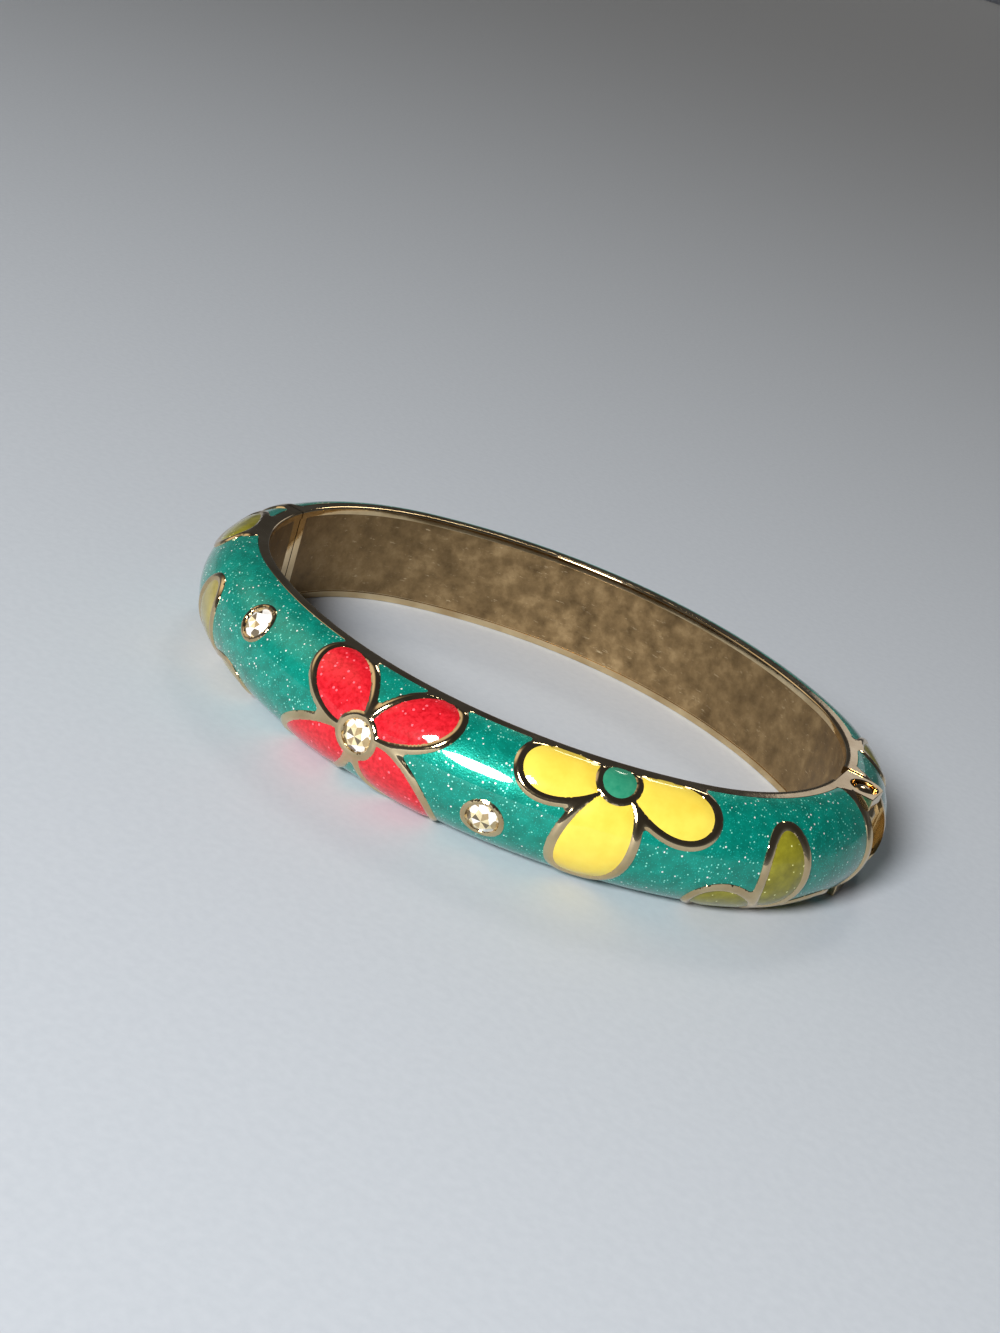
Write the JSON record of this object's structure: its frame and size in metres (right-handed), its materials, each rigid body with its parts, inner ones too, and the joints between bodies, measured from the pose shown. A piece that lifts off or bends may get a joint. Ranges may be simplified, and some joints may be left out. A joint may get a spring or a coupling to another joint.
{
  "type": "hinged bangle",
  "caption": "Oval hinged bangle with a D-shaped gold-tone band, raised flowers in coloured enamel and round faceted stones, opening on a pinned hinge opposite a plain tongue clasp.",
  "frame": {"origin": "on the floor, under the centre of the oval opening", "axes": "+Z is the wrist's direction, up from the floor with the bangle on its side; +X is the oval's long axis with the hinge at +X; the decorated front half faces -Y"},
  "size_m": [0.071, 0.0552, 0.0105],
  "materials": {
    "polished_metal": "polished gold-tone plating",
    "worn_metal": "dull, scuffed gold-tone plating",
    "green_enamel": "glossy with fine glitter",
    "red_enamel": "glossy, finely grained",
    "yellow_enamel": "glossy, opaque",
    "pale_green_enamel": "glossy",
    "olive_enamel": "glossy with fine glitter",
    "mustard_enamel": "glossy",
    "crystal": "cut and polished"
  },
  "bodies": {
    "front_half": {"front_shell": "polished_metal", "hinge_pin": "polished_metal", "front_inner_plate": "worn_metal", "green_ground_left": "green_enamel", "green_ground_right": "green_enamel", "green_ground_notch": "green_enamel", "green_ground_wedge": "green_enamel", "red_petal_1": "red_enamel", "red_petal_2": "red_enamel", "red_petal_3": "red_enamel", "red_petal_4": "red_enamel", "yellow_petal_1": "yellow_enamel", "yellow_petal_2": "yellow_enamel", "yellow_petal_3": "yellow_enamel", "green_centre": "pale_green_enamel", "olive_petal_1": "olive_enamel", "olive_petal_2": "olive_enamel", "olive_petal_3": "olive_enamel", "mustard_petal_1": "mustard_enamel", "mustard_petal_2": "mustard_enamel", "mustard_petal_3": "mustard_enamel", "clasp_leaf": "olive_enamel", "crystal_left": "crystal", "crystal_middle": "crystal", "crystal_flower": "crystal"},
    "rear_half": {"rear_shell": "polished_metal", "rear_inner_plate": "worn_metal", "green_ground_rear": "green_enamel", "hinge_leaf": "olive_enamel", "clasp_tongue": "polished_metal"}
  },
  "joints": [
    {"name": "hinge", "type": "hinge", "parent": "front_half", "child": "rear_half", "pos_m": [0.0326, 0.001, 0.00525], "axis": [0, 0, -1], "range_deg": [0, 50]}
  ]
}
